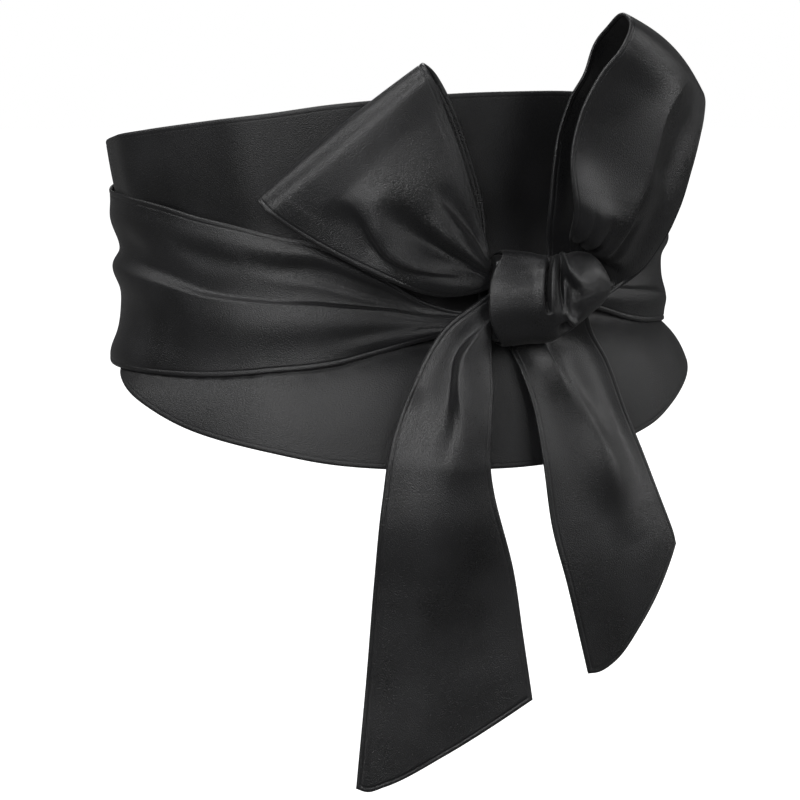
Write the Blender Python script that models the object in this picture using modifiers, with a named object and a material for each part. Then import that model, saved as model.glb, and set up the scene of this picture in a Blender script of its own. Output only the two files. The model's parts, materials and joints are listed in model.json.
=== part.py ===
"""Satin waist sash, tied in a bow: a shaped front panel and two long ties, worn on a waist.

Every size is in millimetres until a mesh is made. +Z is up and the wearer faces -Y. The origin is the
centre of the waist at the height of the knot. A place on the waist is an angle from centre front,
positive to +X, and a height. The bow has its own frame, centred in the knot: across, up and out.
"""

import math

import bpy
import numpy as np

MM = 0.001

# Cloth
PANEL_THICK = 2.0           # outer satin, stiff interlining and lining
TIE_THICK = 1.4             # two plies of satin, sewn and turned
KNOT_THICK = 1.8

# The waist that the sash is shaped to
WAIST_RATIO = 1.35          # its width over its depth
FLARE_OUT = 12.0            # how far the panel stands off below the ties
FLARE_REACH = 11.0
FLARE_ROWS = 4

# The bow
KNOT_CENTRE = (6.0, -118.0, 0.0)
BOW_TURN = math.radians(-30.0)
KNOT_TURN = math.radians(-20.0)
KNOT_ROUND = 2.5            # its section's exponent: 2 is an ellipse, more is squarer

# Colours
SATIN_BLACK = (0.012, 0.012, 0.013, 1.0)
SATIN_ROUGHNESS = 0.38


def table(names, *rows):
    """A short table as named columns of numbers."""
    return dict(zip(names.split(), np.array(rows, float).T))


def read(rows, column, at):
    """One column of a table, read smoothly at places along the table's first column."""
    x = next(iter(rows.values()))
    y = rows[column]
    slope = np.gradient(y, x)
    i = np.clip(np.searchsorted(x, at) - 1, 0, len(x) - 2)
    step = x[i + 1] - x[i]
    s = np.clip((at - x[i]) / step, 0, 1)
    rise = y[i + 1] - y[i]
    return (
        y[i] + s * s * (3 - 2 * s) * rise
        + step * s * (1 - s) * (slope[i] * (1 - s) - slope[i + 1] * s)
    )


# Half width of the waist by height
WAIST = table(
    "height half_width",
    (-110, 133), (-75, 129), (-50, 127), (-30, 124.5), (-15, 122), (0, 121.3), (12, 121.3),
    (25, 122.5), (40, 126.5), (65, 131), (95, 135),
)

# The panel's two edges by angle from centre front, and the height under which it flares outwards
PANEL = table(
    "angle top bottom flare_from",
    (-150, 50, -24, -37.5), (-130, 55.5, -27, -37.5), (-112, 60, -33, -37), (-95, 63.2, -40, -36),
    (-80, 66.4, -48, -36.5), (-63, 70.2, -58, -36.5), (-46, 74.3, -65.4, -34.5), (-36, 77.3, -69.6, -32),
    (-25, 79.6, -72, -26), (-12, 81.8, -73.2, -20), (0, 82.5, -73.4, -17), (12, 82.2, -71.4, -16),
    (24, 80, -65.5, -16), (32, 78, -61, -18), (40, 76, -55, -20), (48, 74, -49.5, -21),
    (58, 71.5, -44, -22), (72, 68.5, -38, -23.5), (90, 64.5, -33, -25.5), (110, 60.2, -29.5, -30),
    (130, 55.5, -27, -34), (150, 50, -24, -37.5),
)
PANEL_END = 150.0

# Each tie from its seam at the panel's end, round the back and side, to the knot. The turn is the
# angle travelled from centre front, and lift is its inner face's distance from the waist.
TIE_LEFT = table(
    "turn top bottom lift",
    (150.2, 50, -24, 0.2), (158, 50, -19, 0.2), (166, 50, -9, 0.2), (172, 50, -2.5, 0.3),
    (176, 50, 0.4, 0.9), (180, 50, 1, 2.0), (184, 49.8, 0.4, 3.1), (188, 49.5, -2.5, 3.5),
    (194, 49, -7, 3.6), (204, 47.5, -15, 3.4), (216, 45, -24, 3.0),
    (232, 42.5, -31, 2.8), (250, 39.8, -35, 2.7), (270, 38, -36, 2.6), (284, 35, -36.2, 2.6),
    (294, 31, -36, 2.6), (304, 27.3, -35, 2.6), (313, 23.3, -33.2, 2.6), (320, 21, -31.8, 2.6),
    (326, 15.6, -29.8, 2.6), (331, 10, -27, 2.7), (336, 4.4, -24.2, 3.0), (340, -1, -21.8, 4.0),
    (344, -5, -19.5, 6.0), (348, -7.5, -17.2, 9.0), (353.3, -8, -14.6, 14.6),
)
TIE_RIGHT = table(
    "turn top bottom lift",
    (150.2, 50, -24, 0.2), (158, 42, -31, 0.2), (166, 20, -38, 0.2), (172, 4.5, -42, 0.3),
    (176, -0.4, -43.5, 0.9), (180, -1, -44, 2.0), (184, -0.4, -44, 3.1), (188, 4.5, -44, 3.5),
    (194, 14, -43, 3.6), (204, 26, -41, 3.4), (216, 38, -37, 3.0),
    (232, 48, -32, 2.8), (250, 54, -28, 2.7), (270, 56, -24.5, 2.6), (296, 52, -21.5, 2.6),
    (310, 45, -20.2, 2.6), (319, 39, -19, 2.6), (327, 31, -16.5, 2.8), (334, 23, -13, 3.2),
    (340, 17, -10.2, 4.5), (345, 12, -8.5, 6.5), (350, 8, -7, 10),
)

# Folds lie along a strip from t0 to t1 (0 at its start, 1 at its end) at a share v of its width.
# Width is the fold's half width as a share too. Lean is the far side's width over the near side's.
FOLD_COLUMNS = "t0 t1 v0 v1 width0 width1 high0 high_mid high1 lean"
TIE_LEFT_FOLDS = table(
    FOLD_COLUMNS,
    # pleats where the ties pass each other at the back
    (0.00, 0.30, 0.10, 0.16, 0.07, 0.10, 0.0, 2.0, 0.0, 1.0),
    (0.15, 0.42, 0.42, 0.38, 0.08, 0.10, 0.0, 2.6, 0.0, 1.0),
    (0.15, 0.42, 0.72, 0.66, 0.08, 0.10, 0.0, 2.2, 0.0, 1.0),
    # the upper roll, which dies out towards the front
    (0.30, 0.76, 0.17, 0.22, 0.13, 0.13, 0.0, 3.4, 0.0, 1.0),
    # the middle roll, and the crease over the lower band's edge
    (0.32, 0.72, 0.44, 0.50, 0.08, 0.07, 0.0, 4.0, 1.6, 1.3),
    (0.62, 1.00, 0.53, 0.48, 0.05, 0.07, 0.6, 3.4, 0.3, 3.5),
    # the lower band's edge, pushed off by the panel's flare
    (0.25, 0.95, 0.95, 0.95, 0.10, 0.12, 0.0, 3.2, 0.0, 1.0),
    # pleats that fan out from the knot
    (0.76, 1.00, 0.08, 0.08, 0.08, 0.12, 0.0, 2.4, 0.2, 0.8),
    (0.84, 1.00, 0.76, 0.78, 0.09, 0.12, 0.0, 1.4, 0.2, 1.0),
)
TIE_RIGHT_FOLDS = table(
    FOLD_COLUMNS,
    (0.00, 0.22, 0.86, 0.84, 0.07, 0.10, 0.0, 2.0, 0.0, 1.0),
    (0.15, 0.42, 0.30, 0.34, 0.08, 0.10, 0.0, 2.6, 0.0, 1.0),
    (0.15, 0.42, 0.62, 0.60, 0.08, 0.10, 0.0, 2.2, 0.0, 1.0),
    (0.32, 0.92, 0.24, 0.18, 0.11, 0.11, 0.0, 3.0, 0.0, 1.0),
    (0.36, 1.00, 0.55, 0.46, 0.09, 0.11, 0.0, 3.4, 1.2, 0.7),
    (0.40, 1.00, 0.86, 0.84, 0.09, 0.10, 0.0, 2.2, 1.0, 1.0),
)

# Strips of the bow, in the bow's frame: the two edges, and how far the middle stands out between them
STRIP_COLUMNS = "t left_across left_up left_out right_across right_up right_out camber"
LOOP_LEFT = table(
    STRIP_COLUMNS,
    (0.00, -25.6, 1.8, 8.5, -25.7, 12.5, 8, 0.2),
    (0.05, -33, 0, 10.5, -26.5, 19, 10.5, 2.0),
    (0.15, -52, 0.5, 16, -31, 36, 16, 5.0),
    (0.26, -79, 11.5, 20, -37.3, 58, 20, 6.0),
    (0.37, -103, 24.5, 21, -44.5, 77, 22, 4.5),
    (0.455, -117, 34.5, 20.5, -50, 90.5, 22.5, 2.5),
    (0.50, -120, 38, 16.5, -52, 93.7, 18.5, 1.5),
    (0.545, -116.5, 35, 12, -48.5, 91, 14, 1.0),
    (0.63, -102, 24.5, 12.5, -41.5, 79, 11.5, 0.3),
    (0.74, -80, 12.5, 10.5, -34, 59, 8, 0.5),
    (0.85, -58, 3, 6, -28, 37, 4.5, 1.0),
    (0.94, -40, -0.5, 4, -26.6, 21, 3.6, 0.6),
    (1.00, -26.6, 1.5, 3.5, -26.7, 14.5, 3.3, 0.0),
)
LOOP_LEFT_FOLDS = table(
    FOLD_COLUMNS,
    (0.00, 0.27, 0.14, 0.12, 0.20, 0.12, 0.0, 3.0, 0.0, 1.0),
    (0.00, 0.33, 0.40, 0.34, 0.20, 0.12, 0.0, -3.2, 0.0, 0.7),
    (0.00, 0.24, 0.64, 0.58, 0.20, 0.12, 0.0, 2.4, 0.0, 1.0),
    (0.00, 0.22, 0.82, 0.82, 0.20, 0.11, 0.0, -2.0, 0.0, 1.0),
    (0.80, 1.00, 0.35, 0.35, 0.14, 0.14, 0.0, 1.2, 0.0, 1.0),
)
LOOP_RIGHT = table(
    STRIP_COLUMNS,
    (0.00, -1, 8, -17, 19, 2, -26, 0.0),
    (0.05, -0.6, 17, -16, 26, 10, -31, 0.0),
    (0.12, -1, 31, -11, 36, 24, -40, 0.5),
    (0.20, 0.5, 50, -7, 48, 45, -50, 1.0),
    (0.29, 4.5, 69, -5, 57, 58, -56, 1.5),
    (0.38, 12, 88, -3.5, 61, 68, -60, 3.0),
    (0.45, 21.5, 106, -1, 63.5, 76.5, -60, 4.5),
    (0.49, 27.5, 113.5, 4, 65.5, 80.5, -57, 4.5),
    (0.53, 30.5, 110.5, 13, 66.5, 77.5, -53, 4.0),
    (0.58, 27.5, 101.5, 19, 66, 71, -50, 5.0),
    (0.65, 19.5, 89, 23, 64, 61, -47, 6.5),
    (0.73, 12, 71, 25.5, 60.5, 48.5, -43, 8.0),
    (0.81, 8, 50, 24, 55, 32, -39, 8.0),
    (0.88, 7.4, 33, 16, 47, 17, -34, 5.5),
    (0.93, 7.6, 24.8, 4.3, 38, 6, -29.3, 3.2),
    (0.955, 8.2, 21.6, -4.9, 31, 1, -26.8, -3.6),
    (0.975, 9.2, 15.5, -13.5, 25, -3, -23.5, -3.5),
    (1.00, 11, 8, -17, 18.5, -8, -21, -0.5),
)
LOOP_RIGHT_FOLDS = table(
    FOLD_COLUMNS,
    (0.52, 0.93, 0.74, 0.66, 0.09, 0.10, 0.0, -6.0, -1.0, 0.8),
    (0.55, 0.93, 0.90, 0.85, 0.09, 0.09, 0.0, 3.0, 1.0, 1.0),
    (0.74, 0.94, 0.36, 0.40, 0.13, 0.13, 0.0, 2.4, 0.4, 1.0),
)
TAIL_LEFT = table(
    STRIP_COLUMNS,
    (0.00, -25.6, 0.4, 9, -26.1, -16, 8, 0.2),
    (0.04, -30.7, -3.0, 11, -25.9, -22, 9.5, 0.6),
    (0.10, -42.2, -11.5, 14.5, -25.5, -32, 13, 1.8),
    (0.155, -49.5, -21, 16.5, -25, -42, 15.5, 3.0),
    (0.23, -57, -36, 18, -25, -54, 17, 3.8),
    (0.32, -65, -57, 19, -25.3, -66, 18, 4.2),
    (0.45, -69.6, -84.4, 17.5, -23.5, -81, 18, 4.4),
    (0.62, -73, -119, 15, -15.7, -112, 16, 4.4),
    (0.80, -76.3, -160, 14, -11.3, -141, 15, 4.0),
    (1.00, -80.5, -204, 14, -7.3, -168, 14, 3.0),
)
TAIL_LEFT_FOLDS = table(
    FOLD_COLUMNS,
    (0.00, 0.52, 0.34, 0.36, 0.13, 0.16, -0.6, -4.2, 0.0, 1.0),
    (0.00, 0.55, 0.70, 0.64, 0.14, 0.20, 0.6, 3.2, 0.0, 1.6),
)
TAIL_RIGHT = table(
    STRIP_COLUMNS,
    (0.00, -15, -10, -13.3, 15.5, -7, -15.4, -0.3),
    (0.07, -17.1, -22.5, -10.5, 18.5, -18.2, -22, 0.3),
    (0.14, -12.8, -33, -5.5, 24.7, -30, -27, 1.5),
    (0.25, -7.8, -47, -3, 32.2, -50, -30, 2.5),
    (0.40, -3.5, -69, 0, 40, -69, -32, 3.5),
    (0.58, 0.4, -97, 0, 47.2, -88, -34, 4.0),
    (0.78, 7.2, -123, -2, 53, -103, -36, 4.0),
    (1.00, 16, -160, -7, 55, -110, -36, 2.5),
)
TAIL_RIGHT_FOLDS = table(
    FOLD_COLUMNS,
    (0.00, 0.75, 0.42, 0.60, 0.09, 0.13, 0.0, 3.4, 0.0, 1.2),
    (0.05, 0.60, 0.18, 0.24, 0.11, 0.14, 0.0, -2.0, 0.0, 1.0),
    (0.05, 0.60, 0.84, 0.86, 0.11, 0.12, 0.0, -2.2, 0.0, 1.0),
)

# How far a tail's cut end runs past the straight line between its corners, by share of its width
FOOT_LEFT = table("v past", (0, 1.5), (0.06, 5.0), (0.16, 6.4), (0.5, 5.2), (0.8, 2.4), (1, 0))
FOOT_RIGHT = table("v past", (0, 1), (0.08, 5.0), (0.22, 8.6), (0.5, 8.4), (0.8, 5.0), (0.94, 1.8), (1, 0))

# The knot's band, wrapped round the crossing: its outer section at places along its own width
KNOT = table(
    "along half_height half_depth up out",
    (-28.2, 20.2, 12.2, -2.5, 0), (-23, 21.3, 13.2, -2.5, 0), (-10, 21.3, 13.6, -2.6, 0),
    (0, 20.3, 13.2, -2, 0), (6, 17.5, 12.4, -0.6, 0), (12, 15, 11.5, 1.9, -0.3),
    (18, 12, 9.6, 3.2, -0.8), (22.5, 8.6, 7.6, 2.6, -1.8), (25.5, 5.8, 5.8, 2, -2.8),
)
KNOT_LEFT_TRIM = 7.5        # how far its left rim draws in at the top and foot
KNOT_FOLDS = table(
    FOLD_COLUMNS,
    (0.22, 0.60, 0.485, 0.490, 0.05, 0.05, 0.0, -2.6, 0.0, 1.0),
    (0.26, 0.60, 0.535, 0.530, 0.05, 0.05, 0.0, 1.6, 0.0, 1.0),
    (0.30, 0.72, 0.575, 0.660, 0.05, 0.05, 0.0, -2.8, 0.0, 1.0),
    (0.33, 0.62, 0.630, 0.740, 0.06, 0.07, 0.0, 1.6, 0.0, 2.0),
)
KNOT_CORE_ROOM = table(
    "along gap", (-26, 0.7), (-20, 1.0), (-13, 2.0), (-6, 3.4), (12, 3.4), (18, 1.6), (23, 0.7), (26, 0.6)
)


def waist_point(angle, height, lift):
    """A point that lies a lift outside the waist, at an angle from centre front and a height."""
    half_width = read(WAIST, "half_width", height) + lift
    half_depth = read(WAIST, "half_width", height) / WAIST_RATIO + lift
    turn = np.radians(angle)
    return np.stack([half_width * np.sin(turn), -half_depth * np.cos(turn), height], axis=-1)


def fold_heights(folds, t, v):
    """How far all the folds of a strip raise or sink it, at places t along it and v across it."""
    total = np.zeros(np.broadcast(t, v).shape)
    for row in zip(*(folds[name] for name in FOLD_COLUMNS.split())):
        t0, t1, v0, v1, width0, width1, high0, high_mid, high1, lean = row
        s = np.clip((t - t0) / (t1 - t0), 0, 1)
        inside = (t >= t0) & (t <= t1)
        middle = v0 + (v1 - v0) * s
        width = width0 + (width1 - width0) * s
        high = high0 * (1 - s) * (1 - 2 * s) + 4 * high_mid * s * (1 - s) + high1 * s * (2 * s - 1)
        side = np.where(v > middle, width * lean, width)
        total += np.where(inside, high * np.exp(-(((v - middle) / side) ** 2)), 0)
    return total


def grid_normals(points, ring=False):
    """The unit normal at each point of a grid, from its neighbours along both directions."""
    if ring:
        along = np.roll(points, -1, axis=0) - np.roll(points, 1, axis=0)
    else:
        along = np.gradient(points, axis=0)
    over = np.gradient(points, axis=1)
    normal = np.cross(over, along)
    return normal / np.linalg.norm(normal, axis=-1, keepdims=True)


def from_bow_frame(across, up, out, turn):
    """A point of the bow's frame, or of the knot's, in the part's frame."""
    return np.stack(
        [
            KNOT_CENTRE[0] + across * math.cos(turn) + out * math.sin(turn),
            KNOT_CENTRE[1] + across * math.sin(turn) - out * math.cos(turn),
            KNOT_CENTRE[2] + up,
        ],
        axis=-1,
    )


def panel_grid(along, over):
    """The front panel's inner face, from its left end to its right end."""
    angle = np.linspace(-PANEL_END, PANEL_END, along)[:, None]
    top = read(PANEL, "top", angle)
    bottom = read(PANEL, "bottom", angle)
    flare_from = read(PANEL, "flare_from", angle)
    crease = np.clip(flare_from, bottom + 10, None)
    upper = np.linspace(0, 1, over - FLARE_ROWS)[None, :]
    lower = np.linspace(0, 1, FLARE_ROWS + 1)[None, 1:] ** 1.3
    height = np.hstack([top + (crease - top) * upper, crease + (bottom - crease) * lower])
    below = np.clip(flare_from - height, 0, None)
    lift = FLARE_OUT * (1 - np.exp(-below / FLARE_REACH))
    return waist_point(np.broadcast_to(angle, height.shape), height, lift)


def tie_grid(rows, folds, side, along, over):
    """The inner face of one tie's turn round the waist; side is 1 for the tie that ends on the left."""
    t = np.linspace(0, 1, along)[:, None]
    v = np.linspace(0, 1, over)[None, :]
    turns = rows["turn"]
    turn = turns[0] + (turns[-1] - turns[0]) * t
    top = read(rows, "top", turn)
    height = top + (read(rows, "bottom", turn) - top) * v
    lift = read(rows, "lift", turn) + fold_heights(folds, t, v)
    return waist_point(np.broadcast_to(side * turn, height.shape), height, lift)


def strip_grid(rows, folds, face, along, over, foot=None):
    """A strip of the bow: a smooth surface between its two edges, with its camber and folds.

    Face is 1 where its outer side lies to the left of its edges' way, and -1 where it lies to the right.
    """
    t = np.linspace(0, 1, along)[:, None]
    v = np.linspace(0, 1, over)[None, :]
    edges = [
        from_bow_frame(*(read(rows, f"{edge}_{way}", t) for way in ("across", "up", "out")), BOW_TURN)
        for edge in ("left", "right")
    ]
    flat = edges[0] * (1 - v[..., None]) + edges[1] * v[..., None]
    if foot is not None:
        ways = flat[-1] - flat[-2]
        ways /= np.linalg.norm(ways, axis=-1, keepdims=True)
        past = read(foot, "past", v[0])[:, None] * ways
        flat = flat + past * np.clip((t[..., None] - 0.75) / 0.25, 0, 1) ** 2
    rise = read(rows, "camber", t) * np.sin(math.pi * v) + fold_heights(folds, t, v)
    return flat + grid_normals(flat) * (face * rise)[..., None]


def knot_section(turn, along, inwards):
    """A point of the knot's section at a turn round it, set inwards from the band's outer face."""
    ease = 2 / KNOT_ROUND
    up_share = np.sign(np.cos(turn)) * np.abs(np.cos(turn)) ** ease
    out_share = np.sign(np.sin(turn)) * np.abs(np.sin(turn)) ** ease
    up = read(KNOT, "up", along) + (read(KNOT, "half_height", along) - inwards) * up_share
    out = read(KNOT, "out", along) + (read(KNOT, "half_depth", along) - inwards) * out_share
    return from_bow_frame(np.broadcast_to(along, up.shape), up, out, KNOT_TURN)


def knot_grid(around, over):
    """The inner face of the knot's band, from the back over the top to the front and under."""
    t = np.linspace(0, 1, around, endpoint=False)[:, None]
    v = np.linspace(0, 1, over)[None, :]
    turn = 2 * math.pi * (t - 0.25)
    left = KNOT["along"][0] + KNOT_LEFT_TRIM * np.cos(turn) ** 2
    along = left + (KNOT["along"][-1] - left) * v
    return knot_section(turn, along, KNOT_THICK - fold_heights(KNOT_FOLDS, t, v))


def satin(name, roughness):
    """Black satin for the viewport and the plain model."""
    material = bpy.data.materials.new(name)
    material.use_nodes = True
    shader = material.node_tree.nodes["Principled BSDF"]
    shader.inputs["Base Color"].default_value = SATIN_BLACK
    shader.inputs["Roughness"].default_value = roughness
    shader.inputs["Metallic"].default_value = 0.0
    return material


def cloth(name, points, thick, collection, material, ring=False, outward=True):
    """A cloth wall over a grid of points, thickened towards its outer side."""
    rows, columns = points.shape[:2]
    last = rows if ring else rows - 1
    faces = []
    for i in range(last):
        for j in range(columns - 1):
            a, b = i * columns + j, ((i + 1) % rows) * columns + j
            faces.append((a, a + 1, b + 1, b) if outward else (a, b, b + 1, a + 1))
    mesh = bpy.data.meshes.new(name)
    mesh.from_pydata((points.reshape(-1, 3) * MM).tolist(), [], faces)
    mesh.shade_smooth()
    piece = bpy.data.objects.new(name, mesh)
    collection.objects.link(piece)
    wall = piece.modifiers.new("wall", "SOLIDIFY")
    wall.thickness = thick * MM
    wall.offset = 1.0
    wall.use_even_offset = False
    wall.use_rim = True
    mesh.materials.append(material)
    return piece


def knot_core(name, collection, material):
    """The gathered ties inside the knot, as one rounded solid that is pleated round its sides."""
    around = 24
    stations = (
        (-24.9, 0.9), (-24.2, 0.98), (-22, 1.0), (-14, 1.0), (-4, 1.0), (5, 1.0), (13, 1.0),
        (19, 1.0), (23.5, 0.97), (24.6, 0.75), (25, 0.4),
    )
    turn = np.linspace(0, 2 * math.pi, around, endpoint=False)
    rings = []
    for along, share in stations:
        place = np.full(around, min(float(along), KNOT["along"][-1]))
        wall = knot_section(turn, place, KNOT_THICK + read(KNOT_CORE_ROOM, "gap", place))
        middle = from_bow_frame(
            place, read(KNOT, "up", place), read(KNOT, "out", place), KNOT_TURN
        )
        pleat = 0.95 + 0.05 * np.cos(6 * turn)[:, None]
        past = from_bow_frame(along - place, 0 * place, 0 * place, KNOT_TURN) - from_bow_frame(
            0 * place, 0 * place, 0 * place, KNOT_TURN
        )
        rings.append(middle + (wall - middle) * share * pleat + past)
    points = np.concatenate(rings)
    faces = [tuple(range(around))[::-1], tuple(range(len(points) - around, len(points)))]
    for i in range(len(rings) - 1):
        for j in range(around):
            k = (j + 1) % around
            faces.append((i * around + j, i * around + k, (i + 1) * around + k, (i + 1) * around + j))
    mesh = bpy.data.meshes.new(name)
    mesh.from_pydata((points * MM).tolist(), [], faces)
    mesh.shade_smooth()
    mesh.materials.append(material)
    core = bpy.data.objects.new(name, mesh)
    collection.objects.link(core)
    return core


def main():
    for old in list(bpy.data.objects):
        bpy.data.objects.remove(old)
    sash = bpy.data.collections.new("satin_sash")
    bpy.context.scene.collection.children.link(sash)
    black = satin("satin_black", SATIN_ROUGHNESS)
    cloth("waist_panel", panel_grid(49, 10), PANEL_THICK, sash, black)
    cloth("wrap_left", tie_grid(TIE_LEFT, TIE_LEFT_FOLDS, 1, 46, 13), TIE_THICK, sash, black)
    cloth(
        "wrap_right", tie_grid(TIE_RIGHT, TIE_RIGHT_FOLDS, -1, 42, 10), TIE_THICK, sash, black,
        outward=False,
    )
    cloth("loop_left", strip_grid(LOOP_LEFT, LOOP_LEFT_FOLDS, 1, 30, 11), TIE_THICK, sash, black)
    cloth(
        "loop_right", strip_grid(LOOP_RIGHT, LOOP_RIGHT_FOLDS, -1, 34, 11), TIE_THICK, sash, black,
        outward=False,
    )
    cloth(
        "tail_left", strip_grid(TAIL_LEFT, TAIL_LEFT_FOLDS, -1, 19, 10, FOOT_LEFT), TIE_THICK, sash,
        black, outward=False,
    )
    cloth(
        "tail_right", strip_grid(TAIL_RIGHT, TAIL_RIGHT_FOLDS, -1, 18, 10, FOOT_RIGHT), TIE_THICK, sash,
        black, outward=False,
    )
    cloth("knot_band", knot_grid(26, 22), KNOT_THICK, sash, black, ring=True, outward=False)
    knot_core("knot_core", sash, black)


main()
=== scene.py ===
"""Satin waist sash, tied in a bow: the looks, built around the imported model.

Sizes in the tables are millimetres until a mesh is made. +Z is up and the wearer faces -Y. A place on
the waist is an angle from centre front, positive to +X, and a height. The bow has its own frame,
centred in the knot: across, up and out. A place on a piece of cloth is t along it and v across it.
"""

import json
import math

import bpy
import numpy as np
from mathutils import Matrix, Vector

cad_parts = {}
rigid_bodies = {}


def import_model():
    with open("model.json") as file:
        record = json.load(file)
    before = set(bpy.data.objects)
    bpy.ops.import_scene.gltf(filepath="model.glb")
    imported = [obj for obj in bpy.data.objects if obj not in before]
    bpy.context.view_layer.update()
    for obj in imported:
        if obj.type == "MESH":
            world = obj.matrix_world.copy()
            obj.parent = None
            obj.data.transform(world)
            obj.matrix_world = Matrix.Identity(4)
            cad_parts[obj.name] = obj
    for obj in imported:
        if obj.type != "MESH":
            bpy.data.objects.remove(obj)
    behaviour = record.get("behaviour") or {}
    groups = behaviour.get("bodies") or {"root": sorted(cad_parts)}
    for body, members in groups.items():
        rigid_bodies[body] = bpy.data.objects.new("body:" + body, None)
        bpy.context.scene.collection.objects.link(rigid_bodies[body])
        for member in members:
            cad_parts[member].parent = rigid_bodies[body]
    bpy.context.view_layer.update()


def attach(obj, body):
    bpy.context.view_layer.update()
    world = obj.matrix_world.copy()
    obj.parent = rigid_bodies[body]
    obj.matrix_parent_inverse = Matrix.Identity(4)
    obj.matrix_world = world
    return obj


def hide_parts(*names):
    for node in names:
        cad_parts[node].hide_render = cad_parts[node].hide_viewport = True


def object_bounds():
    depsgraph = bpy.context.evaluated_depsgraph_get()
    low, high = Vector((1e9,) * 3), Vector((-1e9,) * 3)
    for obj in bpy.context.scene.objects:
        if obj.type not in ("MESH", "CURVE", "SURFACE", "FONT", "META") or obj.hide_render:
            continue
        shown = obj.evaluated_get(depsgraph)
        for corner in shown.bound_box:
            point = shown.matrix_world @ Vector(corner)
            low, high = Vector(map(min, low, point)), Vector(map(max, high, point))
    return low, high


for old in list(bpy.data.objects):
    bpy.data.objects.remove(old)
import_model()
MM = 0.001

# Front panel
# One shaped piece of satin over stiff interlining and a lining, sewn right sides together and turned.
# It covers the front and sides, stands off a little below the ties, and has a row of small stitches
# just inside its edges.
PANEL_THICK = 2.0
PANEL_END = 150.0
PANEL_LENGTH = 620.0
WAIST_RATIO = 1.35
FLARE_OUT = 12.0
FLARE_REACH = 11.0
SATIN_BLACK = (0.0075, 0.0075, 0.0082)
HEM_STITCH = 3.4


def table(names, *rows):
    """A short table as named columns of numbers."""
    return dict(zip(names.split(), np.array(rows, float).T))


def read(rows, column, at, level_ends=False):
    """One column of a table, read smoothly at places along the table's first column."""
    x = next(iter(rows.values()))
    y = rows[column]
    slope = np.gradient(y, x)
    if level_ends:
        slope[0] = slope[-1] = 0
    i = np.clip(np.searchsorted(x, at) - 1, 0, len(x) - 2)
    step = x[i + 1] - x[i]
    s = np.clip((at - x[i]) / step, 0, 1)
    rise = y[i + 1] - y[i]
    return (
        y[i] + s * s * (3 - 2 * s) * rise
        + step * s * (1 - s) * (slope[i] * (1 - s) - slope[i + 1] * s)
    )


def crease(*rows):
    """A soft fold's path over a cloth, with its half width and height in mm.

    Lean tells how many times as wide it is on its far side.
    """
    return table("along across half lean high", *rows)


WAIST = table(
    "height half_width",
    (-110, 133), (-75, 129), (-50, 127), (-30, 124.5), (-15, 122), (0, 121.3), (12, 121.3),
    (25, 122.5), (40, 126.5), (65, 131), (95, 135),
)
PANEL = table(
    "angle top bottom flare_from",
    (-150, 50, -24, -37.5), (-130, 55.5, -27, -37.5), (-112, 60, -33, -37), (-95, 63.2, -40, -36),
    (-80, 66.4, -48, -36.5), (-63, 70.2, -58, -36.5), (-46, 74.3, -65.4, -34.5), (-36, 77.3, -69.6, -32),
    (-25, 79.6, -72, -26), (-12, 81.8, -73.2, -20), (0, 82.5, -73.4, -17), (12, 82.2, -71.4, -16),
    (24, 80, -65.5, -16), (32, 78, -61, -18), (40, 76, -55, -20), (48, 74, -49.5, -21),
    (58, 71.5, -44, -22), (72, 68.5, -38, -23.5), (90, 64.5, -33, -25.5), (110, 60.2, -29.5, -30),
    (130, 55.5, -27, -34), (150, 50, -24, -37.5),
)
# Soft upright swells in the stiffened satin: across is the share of the panel's length from its left end
PANEL_SWELLS = (
    crease((0, 0.205, 13, 1, 1.8), (0.4, 0.21, 14, 1, 1.8), (1, 0.22, 16, 1, 0.4)),
    crease((0, 0.322, 14, 1, 2.3), (0.4, 0.330, 15, 1, 2.0), (1, 0.345, 18, 1, 0.8)),
    crease((0, 0.400, 12, 1, 0.9), (1, 0.410, 16, 1, 0.4)),
    crease((0, 0.500, 14, 1, 2.0), (0.5, 0.505, 15, 1, 1.6), (1, 0.510, 18, 1, 0.6)),
    crease((0, 0.600, 16, 1, 1.5), (1, 0.610, 18, 1, 0.6)),
    crease((0, 0.720, 16, 1, 1.4), (1, 0.730, 18, 1, 0.6)),
)


def crease_heights(creases, along, across, size):
    """How far soft folds raise or sink a cloth. Each follows its own path along the cloth."""
    total = np.zeros(np.broadcast(along, across).shape)
    for rows in creases:
        first, last = rows["along"][0], rows["along"][-1]
        inside = (along >= first) & (along <= last)
        gap = (across - read(rows, "across", along)) * size
        half = np.maximum(read(rows, "half", along), 0.2)
        half = np.where(gap > 0, half * read(rows, "lean", along), half)
        high = read(rows, "high", along, level_ends=True)
        total += np.where(inside, high * np.exp(-((gap / half) ** 2)), 0)
    return total


def waist_point(angle, height, lift):
    """A point that lies a lift outside the waist, at an angle from centre front and a height."""
    half_width = read(WAIST, "half_width", height) + lift
    half_depth = read(WAIST, "half_width", height) / WAIST_RATIO + lift
    turn = np.radians(angle)
    return np.stack([half_width * np.sin(turn), -half_depth * np.cos(turn), height], axis=-1)


def grid_normals(points, ring=False):
    """The unit normal at each point of a grid, from its neighbours along both directions."""
    if ring:
        along = np.roll(points, -1, axis=0) - np.roll(points, 1, axis=0)
    else:
        along = np.gradient(points, axis=0)
    over = np.gradient(points, axis=1)
    normal = np.cross(over, along)
    return normal / np.linalg.norm(normal, axis=-1, keepdims=True)


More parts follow.
